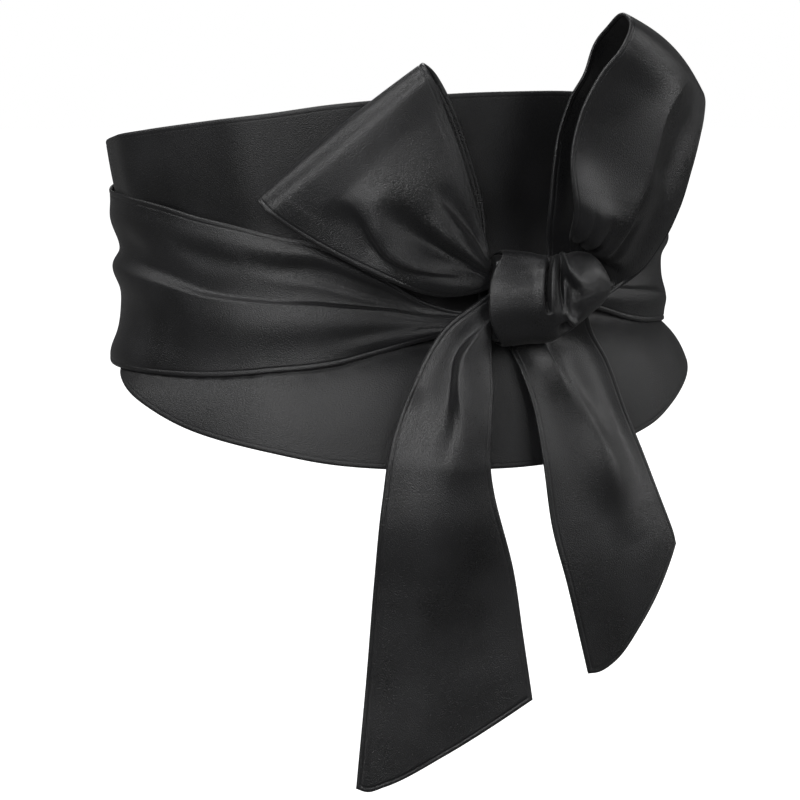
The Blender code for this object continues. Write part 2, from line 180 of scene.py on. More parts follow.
def spread(size, count, steps, both=True):
    """Places from 0 to 1 over a size in mm, close together at the sewn edges and even between them."""
    size = np.asarray(size, float).reshape(-1, 1)
    near = np.array(steps, float)[None, :]
    near = near * np.minimum(1, 0.3 * size / near[:, -1:]) / size
    inner = count - near.shape[1] * (2 if both else 1)
    if both:
        start, share = near[:, -1:], np.linspace(0, 1, inner + 2)[None, 1:-1]
    else:
        start, share = np.zeros_like(size), np.linspace(0, 1, inner + 1)[None, :-1]
    middle = start + (1 - near[:, -1:] - start) * share
    return np.hstack([near, middle, 1 - near[:, ::-1]] if both else [middle, 1 - near[:, ::-1]])


# Places beside an edge, in mm from it, that carry its rounded turn and the fine groove of its seam
EDGE = (0, 0.25, 0.6, 1.1, 1.55, 1.85, 2.1, 2.35, 2.65, 3.1, 4.0, 5.5)
TURN_EASE = 0.1
GROOVE_PLACE = 2.1
GROOVE_HALF = 0.32


def lengths(points, axis):
    """The distance run along a grid up to each point, in mm."""
    steps = np.linalg.norm(np.diff(points, axis=axis), axis=-1)
    start = np.zeros_like(np.take(steps, [0], axis=axis))
    return np.concatenate([start, np.cumsum(steps, axis=axis)], axis=axis)


def cloth_shell(name, face, side, thick, groove=0.26, ring=False, ends=(False, False)):
    """A cloth wall with a rounded turn at its edges, and a fine groove beside each sewn edge.

    Face is the wall's inner face and the normals of its plain form. Side is 1 or -1 for the way that it
    thickens. Ends tells whether its first and last rows are sewn edges too.
    """
    inner, normal = face
    rows, columns = inner.shape[:2]
    normal = normal * side
    across = lengths(inner, 1)
    along = lengths(inner, 0)
    edge = np.minimum(across, across[:, -1:] - across)
    sewn = edge.copy()
    if not ring:
        first, last = along, along[-1:] - along
        edge = np.minimum(edge, np.minimum(first, last))
        for distance, is_sewn in zip((first, last), ends):
            if is_sewn:
                sewn = np.minimum(sewn, distance)
    rim = np.sqrt(np.clip(1 - np.clip(1 - edge / (0.5 * thick + TURN_EASE), 0, 1) ** 2, 0, 1))
    half = 0.5 * thick * rim
    sink = groove * np.exp(-(((sewn - GROOVE_PLACE) / GROOVE_HALF) ** 2))
    middle = inner + normal * (0.5 * thick)
    outer_face = middle + normal * (half - sink * rim)[..., None]
    inner_face = middle - normal * (half - sink * rim)[..., None]

    count = rows * columns
    number = np.arange(count).reshape(rows, columns)
    border = np.zeros((rows, columns), bool)
    border[:, [0, -1]] = True
    if not ring:
        border[[0, -1], :] = True
    under = number.copy()
    under[~border] = count + np.arange(int((~border).sum()))
    points = np.concatenate([outer_face.reshape(-1, 3), inner_face[~border]])
    place = np.stack([along, across, sewn], axis=-1)
    place = np.concatenate([place.reshape(-1, 3), place[~border]]) * MM

    i = np.arange(rows if ring else rows - 1)[:, None]
    j = np.arange(columns - 1)[None, :]
    k = (i + 1) % rows
    quads = []
    for sheet, flip in ((number, side > 0), (under, side < 0)):
        corners = [sheet[i, j], sheet[i, j + 1], sheet[k, j + 1], sheet[k, j]]
        if not flip:
            corners = corners[::-1]
        quads.append(np.stack(np.broadcast_arrays(*corners), axis=-1).reshape(-1, 4))
    mesh = bpy.data.meshes.new(name)
    mesh.from_pydata((points * MM).tolist(), [], np.concatenate(quads).tolist())
    mesh.shade_smooth()
    cloth = mesh.attributes.new("cloth", "FLOAT_VECTOR", "POINT")
    cloth.data.foreach_set("vector", place.astype(np.float32).ravel())
    piece = bpy.data.objects.new(name, mesh)
    bpy.context.scene.collection.objects.link(piece)
    return piece


def new_group(name, inputs, outputs):
    """An empty shader node group with named sockets: each is a name, a type and a default."""
    group = bpy.data.node_groups.new(name, "ShaderNodeTree")
    for sockets, way in ((inputs, "INPUT"), (outputs, "OUTPUT")):
        for label, kind, default in sockets:
            socket = group.interface.new_socket(label, in_out=way, socket_type="NodeSocket" + kind)
            if default is not None:
                socket.default_value = default
    return group, group.nodes.new("NodeGroupInput"), group.nodes.new("NodeGroupOutput")


def add(tree, kind, *links, **values):
    """A shader node with its values set, and its first sockets linked to what is given."""
    node = tree.nodes.new("ShaderNode" + kind)
    for key, value in values.items():
        if hasattr(node, key):
            setattr(node, key, value)
        else:
            node.inputs[key.replace("_", " ")].default_value = value
    for socket, source in zip(node.inputs, links):
        if isinstance(source, bpy.types.NodeSocket):
            tree.links.new(source, socket)
        elif source is not None:
            socket.default_value = source
    return node


# Repeats a metre of the weave's floats and of its finer grain, and the weave's height in metres
WEAVE_FLOATS = (1500, 2600, 0)
WEAVE_GRAIN = (1600, 1800, 0)
WEAVE_DEPTH = 0.00012
# The noise's usual range, the shares of the base colour in dark and light threads, and a stitch's
# height as a multiple of the weave's
WEAVE_SPREAD = {"From_Min": 0.7, "From_Max": 1.3}
DARK_THREAD, LIGHT_THREAD = 0.4, 2.2
STITCH_RISE = 5.0


def satin_weave_group():
    """Satin's face: short warp floats broken by the weave, with a faint cloudiness from handling."""
    group, given, result = new_group(
        "satin_weave",
        [("Place", "Vector", None), ("Dark", "Color", (0, 0, 0, 1)), ("Light", "Color", (0, 0, 0, 1)),
         ("Smooth", "Float", 0.3), ("Rough", "Float", 0.4)],
        [("Colour", "Color", None), ("Roughness", "Float", None), ("Height", "Float", None)],
    )
    floats = add(group, "Mapping", Scale=WEAVE_FLOATS)
    group.links.new(given.outputs["Place"], floats.inputs["Vector"])
    yarn = add(
        group, "TexNoise", floats.outputs[0], noise_dimensions="2D", Scale=1.0, Detail=1.0, Roughness=0.6
    )
    grain_place = add(group, "Mapping", Scale=WEAVE_GRAIN)
    group.links.new(given.outputs["Place"], grain_place.inputs["Vector"])
    grain = add(
        group, "TexNoise", grain_place.outputs[0], noise_dimensions="2D", Scale=1.0, Detail=2.0,
        Roughness=0.7,
    )
    cloud_place = add(group, "TexCoord")
    cloud = add(group, "TexNoise", cloud_place.outputs["Object"], Scale=34.0, Detail=2.0, Roughness=0.5)
    height = add(group, "Math", yarn.outputs["Fac"], grain.outputs["Fac"], operation="ADD")
    group.links.new(height.outputs[0], result.inputs["Height"])
    mixed = add(group, "Math", grain.outputs["Fac"], cloud.outputs["Fac"], operation="ADD")
    share = add(group, "MapRange", mixed.outputs[0], **WEAVE_SPREAD)
    colour = add(group, "Mix", data_type="RGBA")
    group.links.new(share.outputs[0], colour.inputs["Factor"])
    group.links.new(given.outputs["Dark"], colour.inputs[6])
    group.links.new(given.outputs["Light"], colour.inputs[7])
    group.links.new(colour.outputs[2], result.inputs["Colour"])
    rough = add(group, "MapRange", mixed.outputs[0], **WEAVE_SPREAD)
    group.links.new(given.outputs["Smooth"], rough.inputs["To Min"])
    group.links.new(given.outputs["Rough"], rough.inputs["To Max"])
    group.links.new(rough.outputs[0], result.inputs["Roughness"])
    return group


def stitch_row_group():
    """A row of small stitches at a set distance inside a sewn edge, as a mask."""
    group, given, result = new_group(
        "stitch_row",
        [("Place", "Vector", None), ("Inset", "Float", 0.003), ("Stitch", "Float", 0.0034),
         ("Half", "Float", 0.0003)],
        [("Mask", "Float", None)],
    )
    parts = add(group, "SeparateXYZ", given.outputs["Place"])
    gap = add(group, "Math", parts.outputs["Z"], given.outputs["Inset"], operation="SUBTRACT")
    gap = add(group, "Math", gap.outputs[0], operation="ABSOLUTE")
    near = add(group, "Math", gap.outputs[0], given.outputs["Half"], operation="LESS_THAN")
    count = add(group, "Math", parts.outputs["X"], given.outputs["Stitch"], operation="DIVIDE")
    share = add(group, "Math", count.outputs[0], operation="FRACT")
    thread = add(group, "Math", share.outputs[0], 0.68, operation="LESS_THAN")
    mask = add(group, "Math", near.outputs[0], thread.outputs[0], operation="MULTIPLY")
    group.links.new(mask.outputs[0], result.inputs["Mask"])
    return group


def black_satin(name, smooth, rough, stitches=None):
    """Black satin with the weave's grain in its gloss and, where asked, stitches inside its edges."""
    material = bpy.data.materials.new(name)
    material.use_nodes = True
    tree = material.node_tree
    shader = tree.nodes["Principled BSDF"]
    place = add(tree, "Attribute", attribute_name="cloth")
    weave = tree.nodes.new("ShaderNodeGroup")
    weave.node_tree = SATIN_WEAVE
    tree.links.new(place.outputs["Vector"], weave.inputs["Place"])
    weave.inputs["Dark"].default_value = (*(DARK_THREAD * c for c in SATIN_BLACK), 1)
    weave.inputs["Light"].default_value = (*(LIGHT_THREAD * c for c in SATIN_BLACK), 1)
    weave.inputs["Smooth"].default_value = smooth
    weave.inputs["Rough"].default_value = rough
    height = weave.outputs["Height"]
    if stitches is not None:
        row = tree.nodes.new("ShaderNodeGroup")
        row.node_tree = STITCH_ROW
        tree.links.new(place.outputs["Vector"], row.inputs["Place"])
        row.inputs["Inset"].default_value = stitches * MM
        row.inputs["Stitch"].default_value = HEM_STITCH * MM
        raised = add(tree, "Math", row.outputs["Mask"], STITCH_RISE, height, operation="MULTIPLY_ADD")
        height = raised.outputs[0]
    bump = add(tree, "Bump", Strength=1.0, Distance=WEAVE_DEPTH)
    tree.links.new(height, bump.inputs["Height"])
    tree.links.new(weave.outputs["Colour"], shader.inputs["Base Color"])
    tree.links.new(weave.outputs["Roughness"], shader.inputs["Roughness"])
    tree.links.new(bump.outputs[0], shader.inputs["Normal"])
    shader.inputs["Metallic"].default_value = 0.0
    shader.inputs["Specular IOR Level"].default_value = 0.62
    shader.inputs["Sheen Weight"].default_value = 0.05
    shader.inputs["Sheen Roughness"].default_value = 0.45
    return material


SATIN_WEAVE = satin_weave_group()
STITCH_ROW = stitch_row_group()
panel_satin = black_satin("panel_satin", 0.40, 0.52, stitches=2.6)


def finished(piece, material, node):
    """Dresses a piece, rides it on the sash's one body and hides the imported part that it stands for.
    """
    piece.data.materials.append(material)
    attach(piece, "root")
    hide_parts(node)
    return piece


def panel_face(along, over):
    """The front panel's inner face, from its left end to its right end."""
    t = np.linspace(0, 1, along)[:, None]
    angle = PANEL_END * (2 * t - 1)
    top, bottom = read(PANEL, "top", angle), read(PANEL, "bottom", angle)
    v = spread(top - bottom, over, EDGE)
    height = top + (bottom - top) * v
    below = np.clip(read(PANEL, "flare_from", angle) - height, 0, None)
    lift = FLARE_OUT * (1 - np.exp(-below / FLARE_REACH))
    lift = lift + np.clip(crease_heights(PANEL_SWELLS, v, t + 0 * v, PANEL_LENGTH), 0, None)
    points = waist_point(angle + 0 * height, height, lift)
    return points, grid_normals(points)


panel = cloth_shell(
    "front_panel", panel_face(along=260, over=64), 1, PANEL_THICK, groove=0.1, ends=(True, True)
)
finished(
    panel, panel_satin, "waist_panel"
)

# Ties round the waist
# Each tie is two plies of satin, sewn along the edges and turned, so a fine groove runs beside them.
# It is sewn to one end of the panel, crosses the other tie at the back, and comes round the side in
# soft rolls and pleats that gather towards the knot.
TIE_THICK = 1.4
# How far a fold may sink below the plain tie, and how softly it is stopped there, in mm
TIE_LOWEST, TIE_SOFT = -0.3, 0.4
TIE_LEFT = table(
    "turn top bottom lift",
    (150.2, 50, -24, 0.2), (158, 50, -19, 0.2), (166, 50, -9, 0.2), (172, 50, -2.5, 0.3),
    (176, 50, 0.1, 0.9), (180, 50, 0.35, 2.0), (184, 49.8, 0.1, 3.1), (188, 49.5, -2.5, 3.5),
    (194, 49, -7, 3.6), (204, 47.5, -15, 3.4), (216, 45, -24, 3.0),
    (232, 42.5, -31, 2.8), (250, 39.8, -35, 2.7), (270, 38, -36, 2.6), (284, 35, -36.2, 2.6),
    (294, 31, -36, 2.6), (304, 27.3, -35, 2.6), (313, 23.3, -33.2, 2.6), (320, 21, -31.8, 2.6),
    (326, 15.6, -29.8, 2.6), (331, 10, -27, 2.7), (336, 4.4, -24.2, 3.0), (340, -1, -21.8, 4.0),
    (344, -5, -19.5, 6.0), (348, -7.5, -17.2, 9.0), (353.3, -8, -14.6, 14.6),
)
TIE_RIGHT = table(
    "turn top bottom lift",
    (150.2, 50, -24, 0.2), (158, 42, -31, 0.2), (166, 20, -38, 0.2), (172, 4.5, -42, 0.3),
    (176, -0.1, -43.5, 0.9), (180, -0.35, -44, 2.0), (184, -0.1, -44, 3.1), (188, 4.5, -44, 3.5),
    (194, 14, -43, 3.6), (204, 26, -41, 3.4), (216, 38, -37, 3.0),
    (232, 48, -32, 2.8), (250, 54, -28, 2.7), (270, 56, -24.5, 2.6), (296, 52, -21.5, 2.6),
    (310, 45, -20.2, 2.6), (319, 39, -19, 2.6), (327, 31, -16.5, 2.8), (334, 23, -13, 3.2),
    (340, 17, -10.2, 4.5), (345, 12, -8.5, 6.5), (350, 8, -7, 10),
)
FOLD = "t0 t1 v0 v1 width0 width1 high0 high_mid high1 lean"
TIE_LEFT_FOLDS = table(
    FOLD,
    (0.00, 0.30, 0.10, 0.16, 0.07, 0.10, 0.0, 2.0, 0.0, 1.0),
    (0.12, 0.42, 0.42, 0.40, 0.08, 0.10, 0.0, 2.2, 0.0, 1.0),
    (0.15, 0.42, 0.72, 0.66, 0.08, 0.10, 0.0, 2.2, 0.0, 1.0),
)
TIE_RIGHT_FOLDS = table(
    FOLD,
    (0.00, 0.22, 0.86, 0.84, 0.07, 0.10, 0.0, 2.0, 0.0, 1.0),
    (0.15, 0.42, 0.30, 0.34, 0.08, 0.10, 0.0, 2.6, 0.0, 1.0),
    (0.15, 0.42, 0.62, 0.60, 0.08, 0.10, 0.0, 2.2, 0.0, 1.0),
    (0.32, 0.92, 0.24, 0.18, 0.11, 0.11, 0.0, 3.0, 0.0, 1.0),
    (0.36, 1.00, 0.55, 0.46, 0.09, 0.11, 0.0, 3.4, 1.2, 0.7),
    (0.40, 1.00, 0.86, 0.84, 0.09, 0.10, 0.0, 2.2, 1.0, 1.0),
)
TIE_LEFT_CREASES = (
    # the soft upper roll, which narrows to a pleat at the knot
    crease(
        (0.26, 0.17, 8, 1, 0), (0.38, 0.17, 8, 1, 2.8), (0.50, 0.175, 8, 1.1, 3.3),
        (0.62, 0.155, 8, 1.7, 3.2), (0.74, 0.135, 7, 2.0, 3.0), (0.86, 0.115, 3.6, 2.0, 2.0),
        (1.00, 0.11, 1.4, 1, 1.2),
    ),
    # the lower band's upper fold: a soft roll at the side, then a crisp edge that lies in front
    crease(
        (0.30, 0.44, 6, 1, 0), (0.38, 0.44, 5.5, 1.1, 2.8), (0.46, 0.445, 5, 1.3, 4.0),
        (0.54, 0.455, 5, 1.6, 3.9), (0.61, 0.462, 4.0, 2.6, 3.5), (0.67, 0.476, 2.4, 5, 3.5),
        (0.72, 0.496, 1.3, 14, 3.7), (0.78, 0.500, 0.8, 26, 3.8), (0.85, 0.487, 0.7, 26, 3.7),
        (0.90, 0.450, 0.7, 18, 3.2), (0.95, 0.39, 0.7, 12, 2.4), (1.00, 0.35, 0.7, 7, 1.4),
    ),
    # the dark lens under the upper edge, and the soft ridge below it
    crease(
        (0.70, 0.25, 4, 1, 0), (0.79, 0.245, 4.6, 1, -1.2), (0.86, 0.24, 4.4, 1, -2.4),
        (0.92, 0.25, 3, 1, -2.2), (1.00, 0.26, 1.5, 1, -1.0),
    ),
    crease(
        (0.76, 0.32, 3, 1, 0), (0.84, 0.335, 3, 1, 1.0), (0.90, 0.335, 2.4, 1, 1.3),
        (1.0, 0.31, 1, 1, 0.8),
    ),
    # two soft dents in the upper roll
    crease((0.52, 0.29, 4, 1, 0), (0.58, 0.28, 5, 1, -1.6), (0.64, 0.29, 4.5, 1, 0)),
    crease((0.65, 0.22, 4, 1, 0), (0.71, 0.245, 5, 1, -1.7), (0.77, 0.27, 4, 1, 0)),
    # the full lower band, and the pleats along its edge
    crease(
        (0.20, 0.95, 7, 1, 0), (0.42, 0.95, 7, 1, 2.4), (0.58, 0.94, 7, 1, 1.0), (0.72, 0.92, 5, 1, 0),
    ),
    crease(
        (0.52, 0.68, 11, 1, 0), (0.66, 0.68, 11, 1, 1.2), (0.80, 0.66, 9, 1, 1.8),
        (0.94, 0.60, 4, 1, 1), (1, 0.58, 3, 1, 0),
    ),
    crease(
        (0.84, 0.87, 4, 1, 0), (0.90, 0.84, 3, 1, 1.2), (0.96, 0.82, 2, 1, 1.2), (1, 0.8, 1.5, 1, 0.6),
    ),
)
TIE_RIGHT_CREASES = (
    crease(
        (0.70, 0.38, 4, 1, 0), (0.80, 0.36, 3, 1, -1.6), (0.92, 0.33, 2, 1, -1.4), (1, 0.3, 1.5, 1, 0),
    ),
    crease(
        (0.72, 0.90, 3, 1, 0), (0.80, 0.80, 1.4, 5, 1.4), (0.90, 0.72, 1.0, 5, 1.6), (1, 0.66, 1, 4, 0),
    ),
)


def fold_heights(folds, t, v):
    """How far the main folds of a strip raise or sink it, at places t along it and v across it."""
    total = np.zeros(np.broadcast(t, v).shape)
    for row in zip(*(folds[name] for name in FOLD.split())):
        t0, t1, v0, v1, width0, width1, high0, high_mid, high1, lean = row
        s = np.clip((t - t0) / (t1 - t0), 0, 1)
        inside = (t >= t0) & (t <= t1)
        middle = v0 + (v1 - v0) * s
        width = width0 + (width1 - width0) * s
        near, far = np.clip(1 - 2 * s, 0, 1), np.clip(2 * s - 1, 0, 1)
        high = high_mid * np.sin(math.pi * s) ** 1.3
        high = high + high0 * near**2 * (3 - 2 * near) + high1 * far**2 * (3 - 2 * far)
        side = np.where(v > middle, width * lean, width)
        total += np.where(inside, high * np.exp(-(((v - middle) / side) ** 2)), 0)
    return total


def tie_face(rows, folds, creases, side, along, over):
    """The inner face of one tie's turn round the waist; side is 1 for the tie that ends on the left."""
    t = np.linspace(0, 1, along)[:, None]
    turn = rows["turn"][0] + (rows["turn"][-1] - rows["turn"][0]) * t
    top, bottom = read(rows, "top", turn), read(rows, "bottom", turn)
    v = spread(top - bottom, over, EDGE)
    height = top + (bottom - top) * v
    plain = read(rows, "lift", turn) + 0 * v
    rise = fold_heights(folds, t, v) + crease_heights(creases, t, v, top - bottom)
    rise = TIE_LOWEST + TIE_SOFT * np.logaddexp(0, (rise - TIE_LOWEST) / TIE_SOFT)
    angle = side * turn + 0 * height
    return waist_point(angle, height, plain + rise), grid_normals(waist_point(angle, height, plain))


tie_satin = black_satin("tie_satin", 0.32, 0.43)
tie_left = cloth_shell(
    "tie_round_left", tie_face(TIE_LEFT, TIE_LEFT_FOLDS, TIE_LEFT_CREASES, 1, along=340, over=110),
    1, TIE_THICK,
)
finished(tie_left, tie_satin, "wrap_left")
tie_right = cloth_shell(
    "tie_round_right", tie_face(TIE_RIGHT, TIE_RIGHT_FOLDS, TIE_RIGHT_CREASES, -1, along=280, over=90),
    -1, TIE_THICK,
)
finished(tie_right, tie_satin, "wrap_right")

# Left loop of the bow
# A doubled stretch of the left tie that stands up and out from the knot. It is nearly flat, turns over
# in a soft fold along its slanted top edge, and is gathered into troughs where it leaves the knot.
KNOT_CENTRE = (6.0, -118.0, 0.0)
BOW_TURN = math.radians(-30.0)
STRIP = "t left_across left_up left_out right_across right_up right_out camber"
FOOT_FROM = 0.75
LOOP_LEFT = table(
    STRIP,
    (0.00, -25.6, 1.8, 8.5, -25.7, 12.5, 8, 0.2),
    (0.05, -33, 0, 10.5, -26.5, 19, 10.5, 2.0),
    (0.15, -52, 0.5, 16, -31, 36, 16, 5.0),
    (0.26, -79, 11.5, 20, -37.3, 58, 20, 6.0),
    (0.37, -103, 24.5, 21, -44.5, 77, 22, 4.5),
    (0.455, -117, 34.5, 20.5, -50, 90.5, 22.5, 2.5),
    (0.50, -120, 38, 16.5, -52, 93.7, 18.5, 1.5),
    (0.545, -116.5, 35, 12, -48.5, 91, 14, 1.0),
    (0.63, -102, 24.5, 12.5, -41.5, 79, 11.5, 0.3),
    (0.74, -80, 12.5, 10.5, -34, 59, 8, 0.5),
    (0.85, -58, 3, 6, -28, 37, 4.5, 1.0),
    (0.94, -40, -0.5, 4, -26.6, 21, 3.6, 0.6),
    (1.00, -26.6, 1.5, 3.5, -26.7, 14.5, 3.3, 0.0),
)
LOOP_LEFT_FOLDS = table(
    FOLD,
    (0.00, 0.27, 0.14, 0.12, 0.20, 0.12, 0.0, 3.0, 0.0, 1.0),
    (0.00, 0.33, 0.40, 0.34, 0.20, 0.12, 0.0, -3.2, 0.0, 0.7),
    (0.00, 0.24, 0.64, 0.58, 0.20, 0.12, 0.0, 2.4, 0.0, 1.0),
    (0.00, 0.22, 0.82, 0.82, 0.20, 0.11, 0.0, -2.0, 0.0, 1.0),
    (0.80, 1.00, 0.35, 0.35, 0.14, 0.14, 0.0, 1.2, 0.0, 1.0),
)
LOOP_LEFT_CREASES = (
    # the overlapping pleat above its lower corner: in front on the upper side
    crease(
        (0.10, 0.33, 1.2, 5, 0), (0.135, 0.29, 1.1, 6, 0.8), (0.17, 0.225, 1.0, 8, 2.0),
        (0.20, 0.172, 0.9, 10, 3.2), (0.242, 0.165, 0.9, 12, 3.8), (0.279, 0.223, 1.1, 11, 3.6),
        (0.313, 0.281, 1.6, 8, 2.4), (0.343, 0.305, 2.6, 5, 1.2), (0.38, 0.31, 4, 3, 0),
    ),
    crease(
        (0.15, 0.16, 4, 1, 0), (0.21, 0.10, 5, 1, -1.8), (0.27, 0.15, 6, 1, -3.4),
        (0.32, 0.21, 7, 1, -3.2), (0.39, 0.24, 7, 1, 0),
    ),
    # the dark trough that runs down into the knot
    crease(
        (0.0, 0.50, 0.8, 2, -0.6), (0.05, 0.50, 1.0, 1.2, -1.8), (0.10, 0.495, 1.8, 1, -2.4),
        (0.15, 0.47, 3.0, 1, -3.0), (0.20, 0.44, 4.4, 1, -3.4), (0.25, 0.43, 6, 1, -2.8),
        (0.33, 0.42, 6, 1, 0),
    ),
    crease(
        (0.02, 0.58, 1.2, 3, 0), (0.07, 0.56, 1.0, 5, 1.2), (0.13, 0.54, 1.2, 5, 1.0),
        (0.18, 0.50, 2.0, 4, 0.5), (0.24, 0.48, 4, 3, 0),
    ),
    # the short crease by the right edge
    crease(
        (0.05, 0.83, 2, 1, 0), (0.09, 0.81, 1.4, 1.3, -1.0), (0.14, 0.775, 1.4, 2, -1.8),
        (0.18, 0.752, 1.6, 2.6, -2.4), (0.215, 0.738, 2.4, 2.4, -2.2), (0.27, 0.73, 3, 2, 0),
    ),
    crease(
        (0.04, 0.30, 2.4, 1, 0), (0.10, 0.36, 4, 1, 1.4), (0.16, 0.33, 5, 1, 1.2),
        (0.22, 0.28, 5, 1, 0),
    ),
    crease(
        (0.02, 0.90, 1.2, 1, 0), (0.06, 0.90, 2, 1, 1.4), (0.11, 0.89, 2.6, 1, 0.6),
        (0.15, 0.89, 3, 1, 0),
    ),
    # the soft roll down to its slanted top edge
    crease(
        (0.24, 0.5, 200, 1, 0), (0.34, 0.5, 200, 1, -0.6), (0.42, 0.5, 200, 1, 0.4),
        (0.45, 0.5, 200, 1, 1.3), (0.472, 0.5, 200, 1, 1.2), (0.50, 0.5, 200, 1, 0),
    ),
)


def from_bow_frame(across, up, out, turn):
    """A point of the bow's frame, or of the knot's, in the part's frame."""
    return np.stack(
        [
            KNOT_CENTRE[0] + across * math.cos(turn) + out * math.sin(turn),
            KNOT_CENTRE[1] + across * math.sin(turn) - out * math.cos(turn),
            KNOT_CENTRE[2] + up,
        ],
        axis=-1,
    )


def strip_face(rows, folds, creases, side, along, over, foot=None):
    """A strip of the bow: a smooth surface between its two edges, with its camber and folds."""
    t = np.linspace(0, 1, along)[:, None]

    def edge(name, at):
        place = [read(rows, f"{name}_{way}", at) for way in ("across", "up", "out")]
        return from_bow_frame(*place, BOW_TURN)

    if foot is not None:
        run = lengths(0.5 * (edge("left", t) + edge("right", t)), 0)[-1, 0]
        t = spread(run, along, EDGE, both=False).T
    edges = [edge("left", t), edge("right", t)]
    size = np.linalg.norm(edges[1] - edges[0], axis=-1)
    v = spread(size, over, EDGE)
    flat = edges[0] * (1 - v[..., None]) + edges[1] * v[..., None]
    if foot is not None:
        near_end = 0.98
        way = edge("left", 1.0) + edge("right", 1.0) - edge("left", near_end) - edge("right", near_end)
        past = read(foot, "past", v)[..., None] * way / np.linalg.norm(way)
        flat = flat + past * np.clip((t[..., None] - FOOT_FROM) / (1 - FOOT_FROM), 0, 1) ** 2
    rise = read(rows, "camber", t) * np.sin(math.pi * v) + fold_heights(folds, t, v)
    rise = rise + crease_heights(creases, t, v, size)
    normal = grid_normals(flat)
    return flat + normal * (side * rise)[..., None], normal


bow_satin = black_satin("bow_satin", 0.26, 0.37)
loop_left = cloth_shell(
    "bow_loop_left", strip_face(LOOP_LEFT, LOOP_LEFT_FOLDS, LOOP_LEFT_CREASES, 1, along=270, over=120),
    1, TIE_THICK,
)
finished(loop_left, bow_satin, "loop_left")

# Right loop of the bow
# The other tie stands up in an open loop: a narrow strap in front leans over its own back half, so
# the hollow between them shows at the top, and the front is pulled into a deep crease above the knot.
LOOP_RIGHT = table(
    STRIP,
    (0.00, -1, 8, -17, 19, 2, -26, 0.0),
    (0.05, -0.6, 17, -16, 26, 10, -31, 0.0),
    (0.12, -1, 31, -11, 36, 24, -40, 0.5),
    (0.20, 0.5, 50, -7, 48, 45, -50, 1.0),
    (0.29, 4.5, 69, -5, 57, 58, -56, 1.5),
    (0.38, 12, 88, -3.5, 61, 68, -60, 3.0),
    (0.45, 21.5, 106, -1, 63.5, 76.5, -60, 4.5),
    (0.49, 27.5, 113.5, 4, 65.5, 80.5, -57, 4.5),
    (0.53, 30.5, 110.5, 13, 66.5, 77.5, -53, 4.0),
    (0.58, 27.5, 101.5, 19, 66, 71, -50, 5.0),
    (0.65, 19.5, 89, 23, 64, 61, -47, 6.5),
    (0.73, 12, 71, 25.5, 60.5, 48.5, -43, 8.0),
    (0.81, 8, 50, 24, 55, 32, -39, 8.0),
    (0.88, 7.4, 33, 16, 47, 17, -34, 5.5),
    (0.93, 7.6, 24.8, 4.3, 38, 6, -29.3, 3.2),
    (0.955, 8.2, 21.6, -4.9, 31, 1, -26.8, -3.6),
    (0.975, 9.2, 15.5, -13.5, 25, -3, -23.5, -3.5),
    (1.00, 11, 8, -17, 18.5, -8, -21, -0.5),
)
LOOP_RIGHT_FOLDS = table(
    FOLD,
    (0.52, 0.95, 0.78, 0.72, 0.15, 0.14, 0.0, -5.4, -0.6, 0.9),
)
LOOP_RIGHT_CREASES = (
    # the long crease down its front: the strap overlaps the side that leans back
    crease(
        (0.545, 0.64, 9, 0.6, 0), (0.58, 0.57, 9, 0.3, 0.9), (0.62, 0.508, 9, 0.14, 2.0),
        (0.66, 0.483, 9, 0.11, 2.6), (0.745, 0.488, 9, 0.11, 2.6), (0.792, 0.480, 8, 0.12, 2.6),
        (0.826, 0.446, 7, 0.13, 3.0), (0.87, 0.417, 6, 0.13, 3.0), (0.905, 0.403, 4, 0.15, 2.0),
        (0.94, 0.40, 2, 0.3, 0),
    ),
    # soft swells on the side that leans back
    crease(
        (0.58, 0.62, 5, 1, 0), (0.66, 0.60, 6, 1, -1.4), (0.73, 0.61, 6, 1, -1.2),
        (0.79, 0.61, 6, 1, 0),
    ),
    crease(
        (0.75, 0.70, 7, 1, 0), (0.80, 0.68, 8, 1, 1.3), (0.84, 0.66, 7, 1, 0.6), (0.88, 0.64, 6, 1, 0),
    ),
    crease(
        (0.83, 0.56, 4, 1, 0), (0.87, 0.53, 4, 1, -1.8), (0.91, 0.51, 3, 1, -1.6), (0.96, 0.5, 2, 1, 0),
    ),
    # the strap hangs straight, then swells out just above the knot
    crease(
        (0.55, 0.14, 16, 1, 0), (0.64, 0.14, 18, 1, -3.0), (0.73, 0.16, 18, 1, -6.2),
        (0.79, 0.17, 17, 1, -5.8), (0.83, 0.18, 16, 1, -1.4), (0.865, 0.19, 14, 1, 3.2),
        (0.90, 0.2, 10, 1, 3.4), (0.94, 0.2, 6, 1, 0),
    ),
    # its pleats at the knot
    crease(
        (0.84, 0.14, 1.6, 1, 0), (0.90, 0.15, 1.4, 1, -1.3), (0.96, 0.16, 1.2, 1, -1.0),
        (1, 0.16, 1, 1, 0),
    ),
    crease(
        (0.85, 0.27, 1.6, 1, 0), (0.91, 0.27, 1.3, 1, -1.3), (0.96, 0.27, 1.2, 1, -1.0),
        (1, 0.27, 1, 1, 0),
    ),
    # the back half's swell towards the front, and its curled edge at the top
    crease(
        (0.06, 0.14, 6, 1, 0), (0.15, 0.12, 8, 1, -2.8), (0.21, 0.11, 8, 1, -2.2), (0.28, 0.1, 8, 1, 0),
    ),
    crease(
        (0.34, 0.02, 5, 1, 0), (0.39, 0.02, 5, 1, -1.4), (0.43, 0.02, 5, 1, 1.0), (0.47, 0.02, 5, 1, 0),
    ),
)

loop_right = cloth_shell(
    "bow_loop_right",
    strip_face(LOOP_RIGHT, LOOP_RIGHT_FOLDS, LOOP_RIGHT_CREASES, -1, along=310, over=120),
    -1, TIE_THICK,
)
finished(loop_right, bow_satin, "loop_right")

